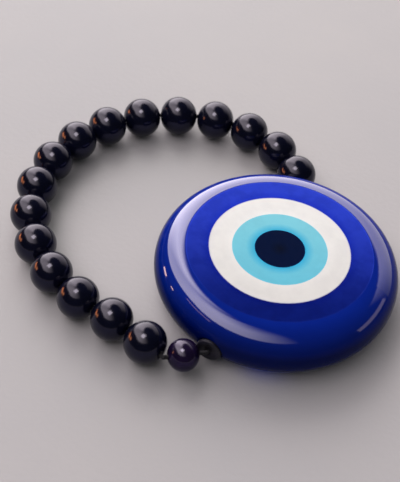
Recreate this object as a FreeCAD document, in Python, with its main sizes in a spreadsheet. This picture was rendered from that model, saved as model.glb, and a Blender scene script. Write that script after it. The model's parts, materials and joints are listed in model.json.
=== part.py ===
import FreeCAD, Part
import math
import os

import Sketcher
from FreeCAD import Placement, Rotation, Vector

# Evil eye bead bracelet: a thick round eye of fused glass, threaded through its edge on an elastic
# cord that carries black beads. The bracelet lies flat, as it does on a table.
#
# Frame: millimetres, +Z up. The origin is the centre of the eye's flat underside. The bore for the
# cord runs along +Y, a little to the -X side of the eye's centre, and the loop of beads lies on that
# side. The cord's centre line is level, at the height of a large bead's centre.

# The driving dimensions, in millimetres and degrees. A bend is the turn of the cord between two
# neighbouring beads, positive where the loop closes and negative where it flares outward.
SIZES = {
    "eye_radius": 23.0,
    "eye_thickness": 10.8,
    "field_radius": 17.5,
    "field_depth": 2.6,
    "white_radius": 13.2,
    "white_depth": 2.0,
    "iris_radius": 8.9,
    "iris_depth": 1.4,
    "pupil_radius": 4.7,
    "pupil_depth": 0.8,
    "bore_radius": 1.1,
    "washer_radius": 2.4,
    "washer_thickness": 1.0,
    "washer_edge": 0.3,
    "seat_radius": 2.7,
    "seat_depth": 0.75,
    "seat_gap": 0.05,
    "bead_radius": 4.0,
    "bead_length": 7.52,
    "bead_pitch": 7.9,
    "small_radius": 3.0,
    "small_length": 5.6,
    "hole_radius": 0.475,
    "hole_flare": 0.25,
    "cord_radius": 0.4,
    "cord_turn": 0.8,
    "cord_gap": 0.14,
    "corner_gap": 0.3,
    "knot_radius": 1.02,
    "knot_length": 2.2,
    "knot_flare": 0.15,
    "front_standoff": 0.5,
    "back_standoff": 1.4,
    "mouth_to_small": 4.4,
    "small_to_corner": 3.65,
    "corner_to_bead": 4.5,
    "corner_bend": 57.0,
    "flare_bend": -12.4,
    "ease_bend": 7.8,
    "loop_bend": 15.3,
    "closing_bend": 19.9,
}
BEAD_COUNT = 16
CLOSING_BENDS = 3


def place_strand():
    """Works out where the cord runs.

    The cord's centre line is a chain of straight lengths joined at hinge points. It leaves the
    front mouth of the eye's bore, carries the small bead and turns a corner, and then has one length
    for each large bead, the last one ending at the back mouth. The bore closes the chain. Returns
    the hinge points, the centres of the beads (the small one first) and the heading of each length.
    """
    half = SIZES["bead_pitch"] / 2
    bends = [SIZES["corner_bend"], SIZES["flare_bend"], SIZES["ease_bend"]]
    bends += [SIZES["loop_bend"]] * (BEAD_COUNT - len(bends) - CLOSING_BENDS)
    bends += [SIZES["closing_bend"]] * CLOSING_BENDS
    before = [SIZES["mouth_to_small"], SIZES["corner_to_bead"]] + [half] * (BEAD_COUNT - 1)
    after = [SIZES["small_to_corner"]] + [half] * BEAD_COUNT

    heading, headings = 0.0, []
    hinges, centres = [Vector()], []
    for bend, lead, trail in zip([0.0] + bends, before, after):
        heading -= bend
        along = Rotation(Vector(0, 0, 1), heading).multVec(Vector(1, 0, 0))
        headings.append(heading)
        centres.append(hinges[-1] + along * lead)
        hinges.append(hinges[-1] + along * (lead + trail))

    # The chord between the two mouths is the bore, so it is turned to lie along +Y. The eye's centre
    # is on its +X side, at the known distance from either mouth.
    chord = hinges[-1].Length
    front = SIZES["eye_radius"] + SIZES["front_standoff"]
    back = SIZES["eye_radius"] + SIZES["back_standoff"]
    across = (chord**2 + front**2 - back**2) / (2 * chord)
    offset = math.sqrt(front**2 - across**2)
    swing = 90.0 - math.degrees(math.atan2(hinges[-1].y, hinges[-1].x))
    turn = Rotation(Vector(0, 0, 1), swing)
    shift = Vector(-offset, -across, SIZES["bead_radius"])
    return (
        [turn.multVec(point) + shift for point in hinges],
        [turn.multVec(point) + shift for point in centres],
        [angle + swing for angle in headings],
    )


HINGES, CENTRES, HEADINGS = place_strand()
FRONT_MOUTH, BACK_MOUTH = HINGES[0], HINGES[-1]

# The places that the eye needs, worked out above.
SIZES["bore_offset"] = -FRONT_MOUTH.x
SIZES["bore_height"] = FRONT_MOUTH.z
SIZES["chord_length"] = BACK_MOUTH.y - FRONT_MOUTH.y
SIZES["mouth_heading"] = HEADINGS[0] - 180.0

doc = FreeCAD.newDocument("evil_eye_bracelet")
sheet = doc.addObject("Spreadsheet::Sheet", "Sizes")
for row, (alias, value) in enumerate(SIZES.items(), start=1):
    sheet.set(f"A{row}", alias)
    sheet.set(f"B{row}", repr(round(value, 6)))
    sheet.setAlias(f"B{row}", alias)
doc.recompute()

ORIGIN = (-1, 1)
H_AXIS, V_AXIS = -1, -2
START, END, CENTRE = 1, 2, 3
SUB_PARTS = []

# How far in front of the eye's centre the washer's seat is.
SEAT_EXPRESSION = "sqrt(Sizes.eye_radius ^ 2 - Sizes.bore_offset ^ 2) - Sizes.seat_depth"


def new_body(name):
    body = doc.addObject("PartDesign::Body", name)
    body.Label = name
    SUB_PARTS.append(body)
    return body


def new_sketch(body, name, plane, offset=0.0):
    """A sketch on one of the body's own origin planes, moved along that plane's normal."""
    sketch = body.newObject("Sketcher::SketchObject", name)
    support = next(o for o in body.Origin.OriginFeatures if o.Role == plane)
    sketch.AttachmentSupport = [(support, "")]
    sketch.MapMode = "FlatFace"
    sketch.AttachmentOffset = Placement(Vector(0, 0, offset), Rotation())
    return sketch


def drive(sketch, kind, *where, by):
    """Adds a dimension that takes its value from the sheet. It starts at the size as drawn."""
    if kind == "Radius":
        value = sketch.Geometry[where[0]].Radius
    else:
        span = sketch.getPoint(*where[2:]) - sketch.getPoint(*where[:2])
        value = span.x if kind == "DistanceX" else span.y
    index = sketch.addConstraint(Sketcher.Constraint(kind, *where, value))
    sketch.setExpression(f"Constraints[{index}]", by)


def join(sketch, *pairs):
    for first, second in pairs:
        sketch.addConstraint(Sketcher.Constraint("Coincident", *first, *second))


def line(x1, y1, x2, y2):
    return Part.LineSegment(Vector(x1, y1, 0), Vector(x2, y2, 0))


def arc(x, y, radius, start, end):
    """An arc of a circle, counter-clockwise between two angles in radians."""
    return Part.ArcOfCircle(Part.Circle(Vector(x, y, 0), Vector(0, 0, 1), radius), start, end)


def revolve(body, sketch, axis):
    feature = body.newObject("PartDesign::Revolution", body.Name + "_turned")
    feature.Profile = sketch
    feature.ReferenceAxis = (sketch, [axis])
    feature.Angle = 360
    return feature


def bowl(radius, depth, top):
    """The arc of a shallow bowl sunk below the level top: from its lowest point to its rim."""
    sphere = (radius**2 + depth**2) / (2 * depth)
    centre = top - depth + sphere
    return arc(0, centre, sphere, -math.pi / 2, math.atan2(top - centre, radius))


def cut_check(body, feature, before):
    """A cut must take some glass away."""
    doc.recompute()
    if feature.Shape.isNull() or feature.Shape.Volume >= before - 1e-6:
        raise RuntimeError(f"{feature.Name} of {body.Name} removes nothing")


def make_eye_glass():
    """The cobalt glass disc: flat faces, a fully rounded edge, a bowl for the inlays and the bore."""
    body = new_body("eye_glass")
    radius, top = SIZES["eye_radius"], SIZES["eye_thickness"]
    edge, field = top / 2, SIZES["field_radius"]
    sketch = new_sketch(body, "eye_profile", "XZ_Plane")
    base, rim, face, sunk, axis = sketch.addGeometry(
        [
            line(0, 0, radius - edge, 0),
            arc(radius - edge, edge, edge, -math.pi / 2, math.pi / 2),
            line(radius - edge, top, field, top),
            bowl(field, SIZES["field_depth"], top),
            line(0, top - SIZES["field_depth"], 0, 0),
        ]
    )
    join(sketch, ((base, START), ORIGIN), ((axis, END), ORIGIN))
    join(sketch, ((face, END), (sunk, END)), ((sunk, START), (axis, START)))
    for straight, end, tip in ((base, END, START), (face, START, END)):
        sketch.addConstraint(Sketcher.Constraint("Tangent", straight, end, rim, tip))
        sketch.addConstraint(Sketcher.Constraint("Horizontal", straight))
    sketch.addConstraint(Sketcher.Constraint("Vertical", axis))
    sketch.addConstraint(Sketcher.Constraint("PointOnObject", sunk, CENTRE, V_AXIS))
    drive(sketch, "DistanceY", *ORIGIN, face, START, by="Sizes.eye_thickness")
    drive(sketch, "DistanceX", *ORIGIN, rim, CENTRE, by="Sizes.eye_radius - Sizes.eye_thickness / 2")
    drive(sketch, "DistanceX", *ORIGIN, face, END, by="Sizes.field_radius")
    drive(sketch, "DistanceY", axis, START, face, END, by="Sizes.field_depth")
    revolve(body, sketch, "V_Axis")
    doc.recompute()

    # The bore for the cord, right through the edge of the disc.
    before = body.Shape.Volume
    circle = new_sketch(body, "bore_circle", "XZ_Plane")
    add_bore_circle(circle, "bore_radius")
    bore = body.newObject("PartDesign::Pocket", "bore")
    bore.Profile = circle
    bore.Type = "ThroughAll"
    bore.Midplane = True
    cut_check(body, bore, before)

    # The flat seat that is ground at the front mouth, for the washer. A sketch on the XZ plane
    # faces -Y, so a positive offset puts it in front, and a reversed pocket cuts outward.
    before = body.Shape.Volume
    circle = new_sketch(body, "seat_circle", "XZ_Plane", SIZES["eye_radius"])
    circle.setExpression("AttachmentOffset.Base.z", SEAT_EXPRESSION)
    add_bore_circle(circle, "seat_radius")
    seat = body.newObject("PartDesign::Pocket", "washer_seat")
    seat.Profile = circle
    seat.Type = "ThroughAll"
    seat.Reversed = True
    cut_check(body, seat, before)


def add_circle(sketch, radius, x=0.0, y=0.0):
    centre = Vector(x, y, 0)
    circle = sketch.addGeometry(Part.Circle(centre, Vector(0, 0, 1), SIZES[radius]))
    drive(sketch, "Radius", circle, by="Sizes." + radius)
    return circle


def add_bore_circle(sketch, radius):
    """A circle on the bore's axis. The bore is on the -X side, and above the sketch's H axis."""
    circle = add_circle(sketch, radius, -SIZES["bore_offset"], SIZES["bore_height"])
    drive(sketch, "DistanceX", circle, CENTRE, *ORIGIN, by="Sizes.bore_offset")
    drive(sketch, "DistanceY", *ORIGIN, circle, CENTRE, by="Sizes.bore_height")


def make_inlay(name, outer, inner=None):
    """One layer of the eye: a shallow glass lens, flush with the top, hollowed for the next one."""
    body = new_body(name)
    top = SIZES["eye_thickness"]
    radius, depth = SIZES[outer + "_radius"], SIZES[outer + "_depth"]
    hole, floor = (SIZES[inner + "_radius"], SIZES[inner + "_depth"]) if inner else (0, 0)
    sketch = new_sketch(body, name + "_profile", "XZ_Plane")
    under, face, axis = sketch.addGeometry(
        [
            bowl(radius, depth, top),
            line(radius, top, hole, top),
            line(0, top - floor, 0, top - depth),
        ]
    )
    join(sketch, ((under, END), (face, START)), ((axis, END), (under, START)))
    sketch.addConstraint(Sketcher.Constraint("PointOnObject", under, CENTRE, V_AXIS))
    sketch.addConstraint(Sketcher.Constraint("PointOnObject", axis, START, V_AXIS))
    sketch.addConstraint(Sketcher.Constraint("Vertical", axis))
    sketch.addConstraint(Sketcher.Constraint("Horizontal", face))
    drive(sketch, "DistanceY", *ORIGIN, face, START, by="Sizes.eye_thickness")
    drive(sketch, "DistanceX", *ORIGIN, face, START, by=f"Sizes.{outer}_radius")
    drive(sketch, "DistanceY", under, START, face, START, by=f"Sizes.{outer}_depth")
    if inner:
        (sunk,) = sketch.addGeometry([bowl(hole, floor, top)])
        join(sketch, ((sunk, END), (face, END)), ((sunk, START), (axis, START)))
        sketch.addConstraint(Sketcher.Constraint("PointOnObject", sunk, CENTRE, V_AXIS))
        drive(sketch, "DistanceX", *ORIGIN, face, END, by=f"Sizes.{inner}_radius")
        drive(sketch, "DistanceY", sunk, START, face, END, by=f"Sizes.{inner}_depth")
    else:
        join(sketch, ((face, END), (axis, START)))
    revolve(body, sketch, "V_Axis")


def make_bead(name, shape, hole, flare, place):
    """A drilled bead, turned about its own hole. It is a little shorter along the hole than across,
    and the hole flares at both ends."""
    body = new_body(name)
    radius, half = SIZES[shape + "_radius"], SIZES[shape + "_length"] / 2
    bore = SIZES[hole]
    lip = bore + SIZES[flare]
    below = (radius**2 - half**2 - lip**2) / (2 * (radius - lip))
    reach = math.atan2(lip - below, half)
    inside = half - SIZES[flare]
    sketch = new_sketch(body, name + "_profile", "XY_Plane")
    skin, left, wall, right = sketch.addGeometry(
        [
            arc(0, below, radius - below, reach, math.pi - reach),
            line(-half, lip, -inside, bore),
            line(-inside, bore, inside, bore),
            line(inside, bore, half, lip),
        ]
    )
    crown = sketch.addGeometry(Part.Point(Vector(0, radius, 0)), True)
    join(sketch, ((skin, END), (left, START)), ((left, END), (wall, START)))
    join(sketch, ((wall, END), (right, START)), ((right, END), (skin, START)))
    for curve in (skin, wall):
        sketch.addConstraint(
            Sketcher.Constraint("Symmetric", curve, START, curve, END, V_AXIS)
        )
    sketch.addConstraint(Sketcher.Constraint("PointOnObject", crown, START, skin))
    sketch.addConstraint(Sketcher.Constraint("PointOnObject", crown, START, V_AXIS))
    drive(sketch, "DistanceY", *ORIGIN, crown, START, by=f"Sizes.{shape}_radius")
    drive(sketch, "DistanceX", skin, END, skin, START, by=f"Sizes.{shape}_length")
    drive(sketch, "DistanceY", *ORIGIN, wall, START, by=f"Sizes.{hole}")
    drive(sketch, "DistanceY", wall, START, skin, END, by=f"Sizes.{flare}")
    drive(sketch, "DistanceX", skin, END, wall, START, by=f"Sizes.{flare}")
    revolve(body, sketch, "H_Axis")
    body.Placement = place


def make_washer():
    """The thin black washer that keeps the small bead off the glass."""
    body = new_body("spacer_washer")
    sketch = new_sketch(body, "washer_outline", "XZ_Plane")
    for radius in ("washer_radius", "hole_radius"):
        join(sketch, ((add_circle(sketch, radius), CENTRE), ORIGIN))
    disc = body.newObject("PartDesign::Pad", "washer_disc")
    disc.Profile = sketch
    disc.setExpression("Length", "Sizes.washer_thickness")
    disc.Midplane = True
    doc.recompute()
    outside = [
        f"Edge{i}"
        for i, edge in enumerate(disc.Shape.Edges, start=1)
        if edge.Curve.TypeId == "Part::GeomCircle"
        and abs(edge.Curve.Radius - SIZES["washer_radius"]) < 1e-6
    ]
    rounding = body.newObject("PartDesign::Fillet", "washer_rounding")
    rounding.Base = (disc, outside)
    rounding.setExpression("Radius", "Sizes.washer_edge")
    seat = math.sqrt(SIZES["eye_radius"] ** 2 - SIZES["bore_offset"] ** 2) - SIZES["seat_depth"]
    middle = seat + SIZES["seat_gap"] + SIZES["washer_thickness"] / 2
    body.Placement = Placement(Vector(FRONT_MOUTH.x, -middle, FRONT_MOUTH.z), Rotation())


def make_bore_cord():
    """The length of cord inside the eye. It goes on round the turn at the front mouth, through the
    washer and the small bead, to the corner. The body's origin is at the front mouth."""
    body = new_body("cord_bore")
    path = new_sketch(body, "cord_path", "XY_Plane")
    heading = math.radians(SIZES["mouth_heading"])
    tail = SIZES["mouth_to_small"] + SIZES["small_to_corner"] - SIZES["corner_gap"]
    bend = SIZES["cord_turn"]
    sweep = math.pi / 2 - heading
    reach = bend * math.tan(sweep / 2)
    ahead = Vector(-math.cos(heading), -math.sin(heading), 0)
    inner, turn, outer = path.addGeometry(
        [
            line(0, SIZES["chord_length"], 0, reach),
            arc(-bend, reach, bend, -sweep, 0.0),
            line(ahead.x * reach, ahead.y * reach, ahead.x * tail, ahead.y * tail),
        ]
    )
    path.addConstraint(Sketcher.Constraint("Tangent", inner, END, turn, END))
    path.addConstraint(Sketcher.Constraint("Tangent", turn, START, outer, START))
    path.addConstraint(Sketcher.Constraint("PointOnObject", inner, START, V_AXIS))
    path.addConstraint(Sketcher.Constraint("PointOnObject", inner, END, V_AXIS))
    path.addConstraint(Sketcher.Constraint("PointOnObject", *ORIGIN, outer))
    ending = "(Sizes.mouth_to_small + Sizes.small_to_corner - Sizes.corner_gap)"
    drive(path, "DistanceY", *ORIGIN, inner, START, by="Sizes.chord_length - Sizes.back_standoff")
    drive(path, "Radius", turn, by="Sizes.cord_turn")
    drive(path, "DistanceX", outer, END, *ORIGIN, by=ending + " * cos(Sizes.mouth_heading * 1 deg)")
    drive(path, "DistanceY", outer, END, *ORIGIN, by=ending + " * sin(Sizes.mouth_heading * 1 deg)")
    section = new_sketch(body, "cord_section", "XZ_Plane")
    section.setExpression("AttachmentOffset.Base.z", "Sizes.back_standoff - Sizes.chord_length")
    join(section, ((add_circle(section, "cord_radius"), CENTRE), ORIGIN))
    doc.recompute()
    pipe = body.newObject("PartDesign::AdditivePipe", "cord_sweep")
    pipe.Profile = section
    pipe.Spine = (path, [])
    body.Placement = Placement(FRONT_MOUTH, Rotation())


def make_link_cord(number):
    """The length of cord that carries one large bead, cut back from the hinge point at each end."""
    name = f"cord_{number:02d}"
    cord = doc.addObject("Part::Cylinder", name)
    cord.Label = name
    SUB_PARTS.append(cord)
    lead = "Sizes.corner_gap" if number == 1 else "Sizes.cord_gap"
    span = "Sizes.bead_pitch"
    if number == 1:
        span = "(Sizes.corner_to_bead + Sizes.bead_pitch / 2)"
    cord.setExpression("Radius", "Sizes.cord_radius")
    cord.setExpression("Height", f"{span} - {lead} - Sizes.cord_gap")
    heading = Rotation(Vector(0, 0, 1), HEADINGS[number])
    upright_to_level = Rotation(Vector(0, 1, 0), 90)
    gap = SIZES["corner_gap"] if number == 1 else SIZES["cord_gap"]
    start = HINGES[number] + heading.multVec(Vector(gap, 0, 0))
    cord.Placement = Placement(start, heading * upright_to_level)


def make_all():
    make_eye_glass()
    make_inlay("blue_field", "field", "white")
    make_inlay("white_ring", "white", "iris")
    make_inlay("iris_ring", "iris", "pupil")
    make_inlay("pupil", "pupil")
    make_washer()
    make_bore_cord()
    middle = Vector(FRONT_MOUTH.x, 0, FRONT_MOUTH.z)
    along_bore = Rotation(Vector(0, 0, 1), 90)
    make_bead("cord_knot", "knot", "cord_radius", "knot_flare", Placement(middle, along_bore))
    names = ["small_bead"] + [f"bead_{n:02d}" for n in range(1, BEAD_COUNT + 1)]
    for name, centre, angle in zip(names, CENTRES, HEADINGS):
        shape = "small" if name == "small_bead" else "bead"
        place = Placement(centre, Rotation(Vector(0, 0, 1), angle))
        make_bead(name, shape, "hole_radius", "hole_flare", place)
    for number in range(1, BEAD_COUNT + 1):
        make_link_cord(number)
    doc.recompute()


def check_all():
    for thing in doc.Objects:
        if "Invalid" in thing.State or "Error" in thing.State:
            raise RuntimeError(f"{thing.Name} failed: {thing.State}")
    for part in SUB_PARTS:
        shape = part.Shape
        if shape.isNull() or not shape.isValid() or len(shape.Solids) != 1:
            raise RuntimeError(f"{part.Label} is not one valid solid")


def export_all():
    os.makedirs("parts", exist_ok=True)
    for part in SUB_PARTS:
        part.Shape.exportStep(f"parts/{part.Label}.step")


make_all()
check_all()
export_all()
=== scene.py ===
import json
import math

import bmesh
import bpy
from mathutils import Matrix, Vector


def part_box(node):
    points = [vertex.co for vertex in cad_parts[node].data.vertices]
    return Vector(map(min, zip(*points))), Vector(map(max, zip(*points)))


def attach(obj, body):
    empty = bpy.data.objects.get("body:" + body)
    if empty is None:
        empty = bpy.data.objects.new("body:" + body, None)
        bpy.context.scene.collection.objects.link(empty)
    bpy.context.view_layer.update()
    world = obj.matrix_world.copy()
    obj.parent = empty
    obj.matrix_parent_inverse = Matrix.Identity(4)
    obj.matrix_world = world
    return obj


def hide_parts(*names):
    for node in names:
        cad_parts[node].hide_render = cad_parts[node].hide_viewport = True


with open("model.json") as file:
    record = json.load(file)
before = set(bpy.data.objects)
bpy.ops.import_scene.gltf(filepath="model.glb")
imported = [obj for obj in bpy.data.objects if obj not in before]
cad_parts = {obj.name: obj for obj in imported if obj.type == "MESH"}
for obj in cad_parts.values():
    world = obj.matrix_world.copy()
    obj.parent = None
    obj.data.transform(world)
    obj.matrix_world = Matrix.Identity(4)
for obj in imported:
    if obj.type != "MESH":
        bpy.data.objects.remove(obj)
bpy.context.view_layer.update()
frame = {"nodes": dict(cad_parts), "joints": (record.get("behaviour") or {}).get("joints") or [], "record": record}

# ---------------------------------------------------------------- places, all read from the frame
JOINTS = {joint["name"]: joint for joint in frame["joints"]}
BODY_OF = {node: body for body, nodes in frame["record"]["behaviour"]["bodies"].items() for node in nodes}

NUMBERS = range(1, 17)  # the large beads, counted from the front mouth of the bore
BEADS = [f"bead_{k:02d}" for k in NUMBERS]
CORDS = [f"cord_{k:02d}" for k in NUMBERS]
INLAYS = ["blue_field", "white_ring", "iris_ring", "pupil"]
SPINS = ["small_bead_spin"] + [f"bead_spin_{k:02d}" for k in NUMBERS]


def spot(joint):
    return Vector(JOINTS[joint]["pos_m"])


def heading(joint):
    return Vector(JOINTS[joint]["axis"]).normalized()


def half_size(node, axis):
    """Half a node's size along x, y or z, given as 0, 1 or 2."""
    low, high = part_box(node)
    return (high[axis] - low[axis]) / 2


def crossing(k):
    """Where the cord's centre line turns between bead k - 1 and bead k; bead 0 is the small one."""
    a, b, u, w = MIDDLES[k - 1], MIDDLES[k], WAYS[k - 1], WAYS[k]
    gap = b - a
    along = (gap.x * w.y - gap.y * w.x) / (u.x * w.y - u.y * w.x)
    return a + u * along


EYE_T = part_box("eye_glass")[1].z
RINGS = {name: half_size(name, 0) for name in INLAYS}
MIDDLES = [spot(joint) for joint in SPINS]
WAYS = [heading(joint) for joint in SPINS]


# ---------------------------------------------------------------- node helpers
class Nodes:
    """A small wrapper that makes a node tree short to write, for a material or the world."""

    def __init__(self, owner, output="ShaderNodeOutputMaterial"):
        owner.use_nodes = True
        self.owner, self.tree = owner, owner.node_tree
        self.tree.nodes.clear()
        self.out = self.add(output)

    def add(self, kind, **settings):
        node = self.tree.nodes.new(kind)
        for key, value in settings.items():
            setattr(node, key, value)
        return node

    def link(self, a, b):
        self.tree.links.new(a, b)

    def put(self, socket, value):
        """Links a socket, or sets a number or a colour."""
        if hasattr(value, "is_linked"):
            self.link(value, socket)
        elif isinstance(value, (tuple, list)) and len(value) == 3 and socket.type == "RGBA":
            socket.default_value = (*value, 1.0)
        else:
            socket.default_value = value

    def math(self, kind, a, b=0.0, clamp=False):
        node = self.add("ShaderNodeMath", operation=kind, use_clamp=clamp)
        self.put(node.inputs[0], a)
        self.put(node.inputs[1], b)
        return node.outputs[0]

    def ramp(self, value, stops):
        node = self.add("ShaderNodeValToRGB")
        band = node.color_ramp.elements
        while len(band) < len(stops):
            band.new(0.5)
        for element, (at, colour) in zip(band, stops):
            element.position = at
            element.color = (*colour, 1.0)
        self.put(node.inputs[0], value)
        return node.outputs[0]

    def step(self, value, low, high, first=0.0, last=1.0):
        """A smooth change from first to last while the value goes from low to high."""
        node = self.add("ShaderNodeMapRange", interpolation_type="SMOOTHSTEP", clamp=True)
        for socket, number in zip(node.inputs, (value, low, high, first, last)):
            self.put(socket, number)
        return node.outputs[0]

    def span(self, value, low, high, edge):
        """One between low and high, fading to nothing over an edge at each end."""
        rise = self.step(value, low, low + edge)
        fall = self.step(value, high - edge, high, 1.0, 0.0)
        return self.math("MULTIPLY", rise, fall)

    def mix(self, share, a, b, blend="MIX"):
        node = self.add("ShaderNodeMix", data_type="RGBA", blend_type=blend)
        for index, value in ((0, share), (6, a), (7, b)):
            self.put(node.inputs[index], value)
        return node.outputs[2]

    def place(self):
        """The point in the piece's own frame, which is the row frame for a CAD node."""
        return self.add("ShaderNodeTexCoord").outputs["Object"]

    def split(self, vector):
        node = self.add("ShaderNodeSeparateXYZ")
        self.link(vector, node.inputs[0])
        return node.outputs

    def noise(self, scale, detail=3.0, rough=0.5):
        node = self.add("ShaderNodeTexNoise")
        self.put(node.inputs["Vector"], self.place())
        node.inputs["Scale"].default_value = scale
        node.inputs["Detail"].default_value = detail
        node.inputs["Roughness"].default_value = rough
        return node.outputs["Fac"]

    def radius(self):
        """The distance from the eye's axis, in metres."""
        x, y, _ = self.split(self.place())
        return self.math("SQRT", self.math("ADD", self.math("MULTIPLY", x, x), self.math("MULTIPLY", y, y)))

    def mirror_rise(self):
        """How far the mirrored view points up: 1 straight up, 0 level, -1 at the floor."""
        geometry = self.add("ShaderNodeNewGeometry")
        turned = self.add("ShaderNodeVectorMath", operation="REFLECT")
        self.link(geometry.outputs["Incoming"], turned.inputs[0])
        self.link(geometry.outputs["Normal"], turned.inputs[1])
        return self.math("MULTIPLY", self.split(turned.outputs[0])[2], -1.0)

    def vary(self, base, value, reach):
        """A base number plus a part of a varying value."""
        return self.math("ADD", base, self.math("MULTIPLY", value, reach))

    def bump(self, height, strength, distance):
        node = self.add("ShaderNodeBump")
        node.inputs["Strength"].default_value = strength
        node.inputs["Distance"].default_value = distance
        self.put(node.inputs["Height"], height)
        return node.outputs["Normal"]

    def surface(self, **values):
        shader = self.add("ShaderNodeBsdfPrincipled")
        for key, value in values.items():
            self.put(shader.inputs[key.replace("_", " ")], value)
        self.link(shader.outputs[0], self.out.inputs[0])
        return self.owner


def look(name):
    return Nodes(bpy.data.materials.new(name))


def srgb(r, g, b):
    """Linear colour from 8-bit screen values."""
    return tuple(((c / 255 + 0.055) / 1.055) ** 2.4 if c > 10 else c / 255 / 12.92 for c in (r, g, b))


# ---------------------------------------------------------------- materials
def cobalt_material():
    """Deep blue glass. A painted glow at the foot, a brighter base colour along the lowest edge and a faint
    emission at the front, stands in for light come through it, and painted shade darkens its side wall below the
    shoulder.
    Its sides mirror the floor only weakly, because the glass there looks into its own depth."""
    n = look("cobalt_glass_look")
    deep = n.mix(n.noise(90, 4, 0.55), srgb(3, 24, 112), srgb(7, 36, 132))
    x, y, z = n.split(n.place())
    level = n.math("DIVIDE", z, EYE_T, clamp=True)
    # Painted glow and painted shade by height: the lowest edge is brightened all round and the side wall is
    # darkened up to the shoulder.
    painted_shade_and_glow = n.ramp(level, [
        (0.00, (0.90, 2.40, 3.60)),
        (0.06, (0.30, 0.60, 0.80)),
        (0.18, (0.15, 0.38, 0.42)),
        (0.60, (0.18, 0.34, 0.34)),
        (0.88, (1.00, 1.00, 1.00))])
    keep = n.step(n.mirror_rise(), -0.02, 0.07, 0.06, 1.0)
    # Painted glow: a faint blue emission on a short stretch of the front foot.
    foot = n.math("MULTIPLY", n.step(level, 0.16, 0.27, 1.0, 0.0), n.step(y, -0.0205, -0.0175, 1.0, 0.0))
    painted_glow = n.math("MULTIPLY", foot, n.span(x, 0.000, 0.016, 0.006))
    return n.surface(
        Base_Color=n.mix(1.0, deep, painted_shade_and_glow, "MULTIPLY"), Roughness=n.vary(0.05, n.noise(400), 0.03), IOR=1.52,
        Specular_IOR_Level=n.math("MULTIPLY", keep, 0.5),
        Coat_Weight=keep, Coat_Roughness=0.04, Coat_IOR=1.5,
        Emission_Color=srgb(10, 60, 230), Emission_Strength=n.math("MULTIPLY", painted_glow, 0.30),
        Normal=n.bump(n.noise(55, 2, 0.4), 0.05, 0.0006))


def layer_material(name, inner, outer, low, high, edge, fleck=(0.93, 0.93, 0.94), near=(1.0, 1.0, 1.0)):
    """One glass layer: its colour drifts from the middle out, painted shade darkens it towards the near side, it
    is finely mottled, and the seam with the next layer shows as a thin line."""
    n = look(name)
    share = n.math("DIVIDE", n.math("SUBTRACT", n.radius(), inner), outer - inner, clamp=True)
    drift = n.ramp(share, [(0.0, low), (0.4, high), (1.0, high)])
    cloud = n.noise(330, 5, 0.6)
    mottled = n.mix(n.step(cloud, 0.38, 0.66, 0.0, 0.75), drift, n.mix(1.0, drift, fleck, "MULTIPLY"))
    x, y, _ = n.split(n.place())
    # Painted shade: the layer's near side is multiplied by the near colour.
    shade_across = n.math("SUBTRACT", n.math("MULTIPLY", y, 0.90), n.math("MULTIPLY", x, 0.42))
    side = n.mix(n.step(shade_across, -0.017, 0.015), near, (1.0, 1.0, 1.0))
    shaded = n.mix(1.0, mottled, side, "MULTIPLY")
    seam = n.ramp(share, [(0.0, (1, 1, 1)), (0.94, (1, 1, 1)), (0.985, edge), (1.0, edge)])
    return n.surface(
        Base_Color=n.mix(1.0, shaded, seam, "MULTIPLY"), Roughness=n.vary(0.05, cloud, 0.05), IOR=1.5,
        Coat_Weight=1.0, Coat_Roughness=0.025, Normal=n.bump(n.noise(70, 2), 0.03, 0.0005))


def bead_material(name, low, high, metal, scale, shine):
    """Dark polished glass, a little cool, whose lower half mirrors the floor only in part and bluer."""
    n = look(name)
    rise = n.mirror_rise()
    return n.surface(
        Base_Color=n.ramp(n.noise(scale, 4, 0.6), [(0.3, low), (0.7, high)]), Metallic=metal, IOR=1.50,
        Specular_IOR_Level=n.step(rise, -0.15, 0.05, 0.40, shine),
        Specular_Tint=n.mix(n.step(rise, -0.15, 0.05), (0.60, 0.60, 1.0), (0.94, 0.90, 1.0)),
        Roughness=n.vary(0.12, n.noise(1400, 2, 0.5), 0.06), Normal=n.bump(n.noise(500, 2), 0.03, 0.0003))


def cord_material():
    n = look("elastic_cord_look")
    wave = n.add("ShaderNodeTexWave", wave_type="BANDS", bands_direction="DIAGONAL")
    n.link(n.place(), wave.inputs["Vector"])
    wave.inputs["Scale"].default_value = 900
    wave.inputs["Distortion"].default_value = 1.2
    weave = wave.outputs["Fac"]
    colour = n.mix(weave, (0.004, 0.004, 0.006), (0.014, 0.013, 0.017))
    return n.surface(Base_Color=colour, Roughness=0.62, Normal=n.bump(weave, 0.5, 0.0001))


def washer_material():
    n = look("washer_look")
    cloud = n.noise(800, 4, 0.6)
    colour = n.ramp(cloud, [(0.3, (0.006, 0.006, 0.012)), (0.75, (0.022, 0.020, 0.034))])
    return n.surface(Base_Color=colour, Roughness=n.vary(0.30, cloud, 0.2), Specular_IOR_Level=0.35)


def floor_material():
    n = look("plain_floor")
    colour = n.mix(n.noise(14, 6, 0.6), srgb(175, 171, 167), srgb(158, 157, 158))
    return n.surface(Base_Color=colour, Roughness=0.62, Normal=n.bump(n.noise(900, 3), 0.12, 0.0004))


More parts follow.
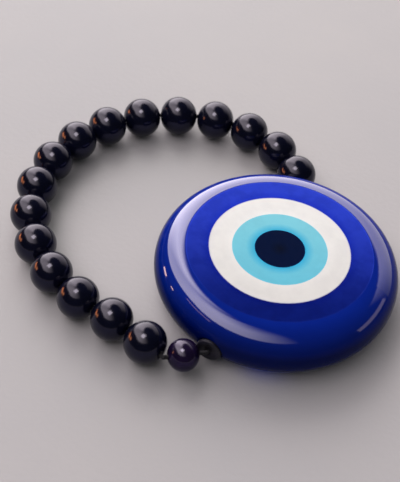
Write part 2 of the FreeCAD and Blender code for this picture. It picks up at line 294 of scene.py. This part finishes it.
# Each layer's near colour is painted shade on its near side.
EYE_LOOKS = {
    "eye_glass": cobalt_material(),
    "blue_field": layer_material(
        "field_look", RINGS["white_ring"], RINGS["blue_field"], srgb(28, 50, 186), srgb(40, 62, 190),
        edge=(1.5, 1.5, 1.3), fleck=(0.60, 0.68, 0.80), near=(0.10, 0.18, 0.26)),
    "white_ring": layer_material(
        "white_look", RINGS["iris_ring"], RINGS["white_ring"], srgb(232, 232, 226), srgb(226, 226, 220),
        edge=(0.72, 0.75, 0.95), near=(0.86, 0.85, 0.84)),
    "iris_ring": layer_material(
        "turquoise_look", RINGS["pupil"], RINGS["iris_ring"], srgb(58, 176, 208), srgb(126, 200, 211),
        edge=(1.0, 1.05, 1.08), near=(0.55, 0.82, 0.92)),
    "pupil": layer_material(
        "pupil_look", 0.0, RINGS["pupil"], srgb(8, 14, 32), srgb(6, 18, 48), edge=(0.9, 1.4, 2.0)),
}
BLACK = bead_material("black_bead_look", (0.0010, 0.0014, 0.0050), (0.0030, 0.0034, 0.0110), 0.0, 220, 0.5)
PURPLE = bead_material("purple_bead_look", (0.003, 0.0015, 0.010), (0.014, 0.006, 0.032), 0.25, 300, 0.9)
CORD_LOOK = cord_material()
WASHER_LOOK = washer_material()


# ---------------------------------------------------------------- mesh helpers
def dress(obj, material):
    obj.data.materials.clear()
    obj.data.materials.append(material)


def smooth(obj):
    for polygon in obj.data.polygons:
        polygon.use_smooth = True


def finished(name, bm, material):
    """A shown object made from a built mesh, with its faces turned out and shaded smooth."""
    bmesh.ops.recalc_face_normals(bm, faces=bm.faces)
    mesh = bpy.data.meshes.new(name)
    bm.to_mesh(mesh)
    bm.free()
    obj = bpy.data.objects.new(name, mesh)
    bpy.context.scene.collection.objects.link(obj)
    smooth(obj)
    dress(obj, material)
    return obj


def join_rings(bm, a, b):
    """A band of four-sided faces between two rings with the same number of points."""
    for i in range(len(a)):
        k = (i + 1) % len(a)
        bm.faces.new((a[i], a[k], b[k], b[i]))


def stand_in(obj, node, place):
    """Puts a turned piece in the place of a CAD node, on the body that has the node's name."""
    obj.location = place
    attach(obj, node)
    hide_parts(node)


def lathe(name, profile, axis_to, material, steps=72):
    """Turns a closed profile of (along, radius) points about the X axis, then turns X to axis_to."""
    bm = bmesh.new()
    turns = [2 * math.pi * i / steps for i in range(steps)]
    rings = [[bm.verts.new((along, radius * math.cos(t), radius * math.sin(t))) for t in turns]
             for along, radius in profile]
    for a, b in zip(rings, rings[1:] + rings[:1]):
        join_rings(bm, a, b)
    bm.transform(Vector((1, 0, 0)).rotation_difference(axis_to).to_matrix().to_4x4())
    return finished(name, bm, material)


# ---------------------------------------------------------------- beads, washer, eye and cord
BORE = 0.000475  # the hole's radius in the beads and the washer
LIP = 0.000725  # the outer radius of the chamfer at each end of a bead's hole


def extent(node, direction):
    """Half the length of a node along a direction, from its own vertices."""
    values = [v.co.dot(direction) for v in frame["nodes"][node].data.vertices]
    return (max(values) - min(values)) / 2


def bead_profile(radius, half, arc_steps=40):
    """The drilled bead's closed outline: an arc over the outside, a chamfer, the hole, a chamfer."""
    below = (radius ** 2 - half ** 2 - LIP ** 2) / (2 * (radius - LIP))
    sphere = radius - below
    start = math.atan2(LIP - below, half)
    points = []
    for i in range(arc_steps + 1):
        a = start + (math.pi - 2 * start) * i / arc_steps
        points.append((sphere * math.cos(a), below + sphere * math.sin(a)))
    flare = LIP - BORE
    points += [(-half + 0.45 * flare, BORE + 0.30 * flare), (-half + flare, BORE), (0.0, BORE),
               (half - flare, BORE), (half - 0.45 * flare, BORE + 0.30 * flare)]
    return points


for node, joint in zip(BEADS + ["small_bead"], SPINS[1:] + SPINS[:1]):
    slot, material = ("purple_bead", PURPLE) if node == "small_bead" else ("black_bead", BLACK)
    along = heading(joint)
    outline = bead_profile(half_size(node, 2), extent(node, along))
    stand_in(lathe(f"look_{node}", outline, along, material), node, spot(joint))

# The eye and its layers keep their exact shapes.
for node, material in EYE_LOOKS.items():
    dress(frame["nodes"][node], material)
    smooth(frame["nodes"][node])

# The washer: a turned ring with rounded shoulders and two fine grooves round its edge. Its half outline
# is given as shares of half its thickness and of its radius.
W_R, W_H = half_size("spacer_washer", 2), half_size("spacer_washer", 1)
SHOULDER = [(1.00, 0.82), (0.93, 0.92), (0.72, 0.985), (0.40, 1.0), (0.30, 0.975), (0.20, 1.0)]
outline = [(-W_H, BORE)] + [(-W_H * along, W_R * out) for along, out in SHOULDER]
outline += [(along * W_H, out * W_R) for along, out in reversed(SHOULDER)] + [(W_H, BORE)]
washer = lathe("look_spacer_washer", outline, Vector((0, 1, 0)), WASHER_LOOK)
washer_low, washer_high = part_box("spacer_washer")
stand_in(washer, "spacer_washer", (washer_low + washer_high) / 2)

# The lengths of cord and the knot keep their shapes, and short links of cord close the gaps.
for node in CORDS + ["cord_bore", "cord_knot"]:
    dress(frame["nodes"][node], CORD_LOOK)
    smooth(frame["nodes"][node])

LINK_R = 0.0004 * 1.02  # a little over the cord's own radius
INNER_R = LINK_R * 0.95
TAIL_R = LINK_R * 0.64
TAIL_SUNK = 0.00015
NARROW_FROM, NARROW_OVER = 0.00035, 0.00030  # where the tail starts to narrow, before the cord inside
DOME_ANGLE = 86  # degrees, so that a small flat cap closes the dome


def tube(name, path, body, widths, steps=24, dome_steps=8):
    """A round tube along a list of points, with a dome centred on its last point."""
    tip, radius = (path[-1] - path[-2]).normalized(), widths[-1]
    angles = [math.radians(DOME_ANGLE) * i / dome_steps for i in range(1, dome_steps + 1)]
    stops = list(zip(path, widths))
    stops += [(path[-1] + tip * radius * math.sin(a), radius * math.cos(a)) for a in angles]
    bm = bmesh.new()
    turns = [2 * math.pi * i / steps for i in range(steps)]
    rings = []
    for i, (point, width) in enumerate(stops):
        ahead = (stops[min(i + 1, len(stops) - 1)][0] - stops[max(i - 1, 0)][0]).normalized()
        side = ahead.cross(Vector((0, 0, 1))).normalized()
        up = side.cross(ahead).normalized()
        rings.append([bm.verts.new(point + width * (math.cos(t) * side + math.sin(t) * up)) for t in turns])
    for a, b in zip(rings, rings[1:]):
        join_rings(bm, a, b)
    bm.faces.new(rings[0][::-1])
    bm.faces.new(rings[-1])
    obj = finished(name, bm, CORD_LOOK)
    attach(obj, body)


# Two domed stubs meet at each crossing and share one centre, so a hinge there never opens a gap. The far
# one is a little thinner, so that it turns inside the near one's dome.
bodies = ["cord_root"] + [BODY_OF[cord] for cord in CORDS]
for k in NUMBERS:
    corner = crossing(k)
    reach = 0.00058 if k == 1 else 0.00034  # into the ends of both lengths of cord
    tube(f"cord_link_{k:02d}_near", [corner - WAYS[k - 1] * reach, corner], bodies[k - 1], [LINK_R] * 2)
    tube(f"cord_link_{k:02d}_far", [corner + WAYS[k] * reach, corner], bodies[k], [INNER_R] * 2)

# The last length goes on into the back mouth of the bore. It narrows at the end, which is sunk in the cord
# inside and keeps within it while the strand bends.
last_way = WAYS[-1]
bore_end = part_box("cord_bore")[1].y
mouth = MIDDLES[-1] + last_way * 0.00395
start = mouth - last_way * 0.0006
stop = Vector((mouth.x, bore_end - TAIL_SUNK, mouth.z))
shares = [i / 14 for i in range(15)]
path = [(1 - t) ** 2 * start + 2 * t * (1 - t) * mouth + t * t * stop for t in shares]
narrow = [min(1.0, max(0.0, (bore_end + NARROW_FROM - point.y) / NARROW_OVER)) for point in path]
tube("cord_tail", path, BODY_OF["cord_16"], [LINK_R + (TAIL_R - LINK_R) * share for share in narrow])

# ---------------------------------------------------------------- floor
FLOOR_HALF = 3.0
FLOOR_DROP = 0.00002  # keeps the floor off the eye's flat underside
floor_mesh = bpy.data.meshes.new("floor")
corners = [(x * FLOOR_HALF, y * FLOOR_HALF, 0) for x, y in ((-1, -1), (1, -1), (1, 1), (-1, 1))]
floor_mesh.from_pydata(corners, [], [(0, 1, 2, 3)])
floor = bpy.data.objects.new("floor", floor_mesh)
floor.location = (0, 0, -FLOOR_DROP)
bpy.context.scene.collection.objects.link(floor)
dress(floor, floor_material())


# ---------------------------------------------------------------- light
# How bright the wall of light is by its turn, in degrees from the back towards the left.
WALL = [(-50, 0.0), (-20, 1.1), (-2, 1.5), (10, 2.6), (30, 4.0), (50, 4.9), (68, 2.6), (100, 3.3),
        (135, 3.0), (178, 1.9), (230, 0.0)]
WALL_FROM, WALL_SPAN = -60.0, 300.0
FILL, MIRRORED_FILL = 0.16, 0.02  # the even light all round, and what of it shows in a mirror image


def sky(world):
    """A soft wall of light from the back right round to the left and overhead, seen in the glass as a
    pale crescent. The camera itself sees a plain pale backdrop."""
    n = Nodes(world, "ShaderNodeOutputWorld")
    x, y, z = n.split(n.add("ShaderNodeTexCoord").outputs["Generated"])
    rise = n.math("DEGREES", n.math("ARCSINE", z))
    turn = n.math("DEGREES", n.math("ARCTAN2", n.math("MULTIPLY", x, -1.0), y))
    turn = n.math("ADD", turn, n.math("MULTIPLY", n.math("LESS_THAN", turn, -100.0), 360.0))
    low = n.step(turn, 30, 120, -3, 42)
    high = n.math("ADD", n.step(turn, 15, 60, 43, 80), n.step(turn, 60, 100, 0, 12))
    soft = n.step(turn, 15, 60, 3, 28)
    wall = n.math("MULTIPLY", n.step(rise, low, n.math("ADD", low, 3.0)),
                  n.step(rise, n.math("SUBTRACT", high, soft), high, 1.0, 0.0))
    share = n.math("DIVIDE", n.math("ADD", turn, -WALL_FROM), WALL_SPAN)
    strength = n.ramp(share, [((at - WALL_FROM) / WALL_SPAN, (level,) * 3) for at, level in WALL])
    shine = n.mix(1.0, (1.0, 0.915, 0.96), n.math("MULTIPLY", wall, strength), "MULTIPLY")
    rays = n.add("ShaderNodeLightPath").outputs
    level = n.vary(FILL, rays["Is Glossy Ray"], MIRRORED_FILL - FILL)
    fill = n.mix(1.0, (0.86, 0.94, 1.0), level, "MULTIPLY")
    background = n.add("ShaderNodeBackground")
    background.inputs[1].default_value = 1.0
    light = n.mix(1.0, shine, fill, "ADD")
    n.link(n.mix(rays["Is Camera Ray"], light, srgb(172, 166, 168)), background.inputs[0])
    n.link(background.outputs[0], n.out.inputs[0])


def area_light(name, place, target, size, power, colour, only=None):
    """A soft rectangle of light; with only, it lights just those objects and shows in them as a glint."""
    data = bpy.data.lights.new(name, "AREA")
    data.shape = "RECTANGLE"
    data.size, data.size_y = size
    data.energy, data.color = power, colour
    obj = bpy.data.objects.new(name, data)
    obj.location = place
    obj.rotation_mode = "QUATERNION"
    obj.rotation_quaternion = (Vector(target) - Vector(place)).to_track_quat("-Z", "Y")
    obj.visible_glossy, obj.visible_camera = bool(only), False
    bpy.context.scene.collection.objects.link(obj)
    if only:
        lit = bpy.data.collections.new(f"lit_by_{name}")
        for piece in only:
            lit.objects.link(piece)
        obj.light_linking.receiver_collection = lit


studio = bpy.data.worlds.new("studio")
bpy.context.scene.world = studio
sky(studio)

# The key light, then the glints: warm ones low on the left, a cool one on the right, a spark above.
ALL_BEADS = [bpy.data.objects[f"look_{node}"] for node in BEADS + ["small_bead"]]
EYE = [frame["nodes"]["eye_glass"]]
LEFT = (-0.03, 0, 0.004)
CENTRE = (0, 0, 0.004)
ORANGE, AMBER, PINK, ROSE = (1.0, 0.30, 0.10), (1.0, 0.35, 0.13), (1.0, 0.62, 0.50), (1.0, 0.62, 0.60)
LILAC, PALE = (1.0, 0.82, 0.95), (1.0, 0.94, 1.0)
area_light("key", (-0.12, 0.15, 0.17), (0, 0, 0.005), (0.13, 0.13), 0.16, (0.96, 1.0, 0.93))
for light in (
        ("warm_low", (-0.45, -0.02, 0.03), LEFT, (0.16, 0.08), 0.28, ORANGE, ALL_BEADS),
        ("warm_high", (-0.42, -0.15, 0.085), LEFT, (0.08, 0.07), 0.12, AMBER, ALL_BEADS),
        ("pink_low", (-0.45, -0.01, 0.04), LEFT, (0.06, 0.045), 0.055, PINK, EYE),
        ("pink_high", (-0.42, -0.12, 0.075), LEFT, (0.03, 0.025), 0.014, PINK, EYE),
        ("pink_line", (-0.31, -0.26, 0.285), CENTRE, (0.22, 0.02), 0.025, ROSE, EYE),
        ("cool_line", (0.43, 0.17, 0.12), CENTRE, (0.28, 0.09), 0.05, LILAC, EYE),
        ("spark", (-0.085, -0.12, 0.58), (-0.03, 0, 0), (0.20, 0.20), 1.05, PALE, ALL_BEADS)):
    area_light(*light)

# ---------------------------------------------------------------- camera
# It was fitted to the outlines of the eye's rings and of the beads.
CAMERA_AT = (0.03673, -0.14979, 0.17273)
PAN, TILT, ROLL = math.radians(-19.29), math.radians(46.63), math.radians(6.95)
camera_data = bpy.data.cameras.new("camera")
camera = bpy.data.objects.new("camera", camera_data)
bpy.context.scene.collection.objects.link(camera)
forward = Vector((math.sin(PAN) * math.cos(TILT), math.cos(PAN) * math.cos(TILT), -math.sin(TILT)))
right = Vector((math.cos(PAN), -math.sin(PAN), 0))
up = right.cross(forward)
rolled_right = math.cos(ROLL) * right + math.sin(ROLL) * up
rolled_up = math.cos(ROLL) * up - math.sin(ROLL) * right
turned = Matrix((rolled_right, rolled_up, -forward)).transposed()
camera.matrix_world = Matrix.Translation(CAMERA_AT) @ turned.to_4x4()
camera_data.sensor_width = 36
camera_data.lens = 90.35
camera_data.clip_start, camera_data.clip_end = 0.01, 20
camera_data.dof.use_dof = True
camera_data.dof.focus_object = frame["nodes"]["eye_glass"]
camera_data.dof.aperture_fstop = 40
bpy.context.scene.camera = camera
bpy.context.scene.view_settings.view_transform = "Standard"

bpy.context.view_layer.update()
